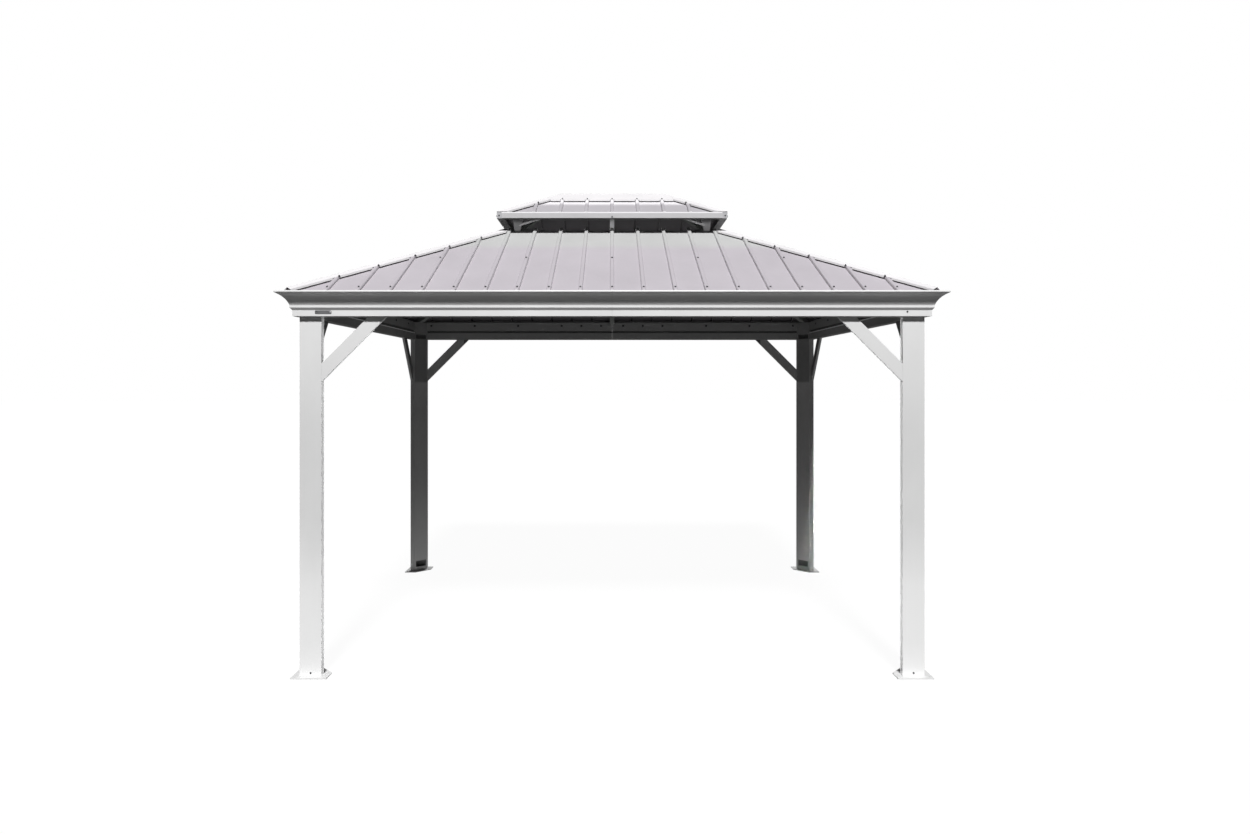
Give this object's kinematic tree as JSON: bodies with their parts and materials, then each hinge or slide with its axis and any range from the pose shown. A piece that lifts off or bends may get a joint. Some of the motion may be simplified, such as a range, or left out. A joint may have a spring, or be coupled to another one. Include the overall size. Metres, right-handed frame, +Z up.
{
  "type": "metal gazebo",
  "caption": "Rectangular hardtop garden gazebo: hollow corner posts on bolted feet, knee braces, beams with a crown gutter, and a two-tier standing-seam hip roof with a raised vent.",
  "frame": {"origin": "on the ground under the middle of the roof", "axes": "+X along the long side to the right, +Y from the front to the back, +Z up"},
  "size_m": [3.968, 3.004, 3.2175],
  "materials": {
    "post_paint": "pale grey powder coat",
    "foot_paint": "pale grey powder coat",
    "gutter_paint": "pale grey powder coat",
    "beam_paint": "grey powder coat",
    "frame_paint": "grey powder coat",
    "roof_paint": "warm grey coated steel sheet",
    "cap_paint": "pale grey coated steel sheet",
    "vent_trim_paint": "grey powder coat"
  },
  "bodies": {
    "root": {"post_front_left": "post_paint", "post_front_right": "post_paint", "post_back_left": "post_paint", "post_back_right": "post_paint", "foot_front_left": "foot_paint", "foot_front_right": "foot_paint", "foot_back_left": "foot_paint", "foot_back_right": "foot_paint", "braces_front_left": "post_paint", "braces_front_right": "post_paint", "braces_back_left": "post_paint", "braces_back_right": "post_paint", "front_beam": "beam_paint", "back_beam": "beam_paint", "left_beam": "beam_paint", "right_beam": "beam_paint", "front_gutter": "gutter_paint", "back_gutter": "gutter_paint", "left_gutter": "gutter_paint", "right_gutter": "gutter_paint", "gutter_corners": "gutter_paint", "hip_rafter_front_left": "frame_paint", "hip_rafter_front_right": "frame_paint", "hip_rafter_back_left": "frame_paint", "hip_rafter_back_right": "frame_paint", "centre_rafters": "frame_paint", "purlins": "frame_paint", "vent_ring": "frame_paint", "front_roof_panels": "roof_paint", "back_roof_panels": "roof_paint", "left_roof_panels": "roof_paint", "right_roof_panels": "roof_paint", "lower_hip_caps": "cap_paint", "vent_struts": "vent_trim_paint", "vent_ties": "vent_trim_paint", "vent_eave_rails": "vent_trim_paint", "vent_corner_caps": "vent_trim_paint", "vent_hip_rafters": "frame_paint", "ridge_beam": "frame_paint", "vent_front_panels": "roof_paint", "vent_back_panels": "roof_paint", "vent_left_panels": "roof_paint", "vent_right_panels": "roof_paint", "vent_hip_caps": "cap_paint", "ridge_cap": "cap_paint"}
  },
  "joints": []
}
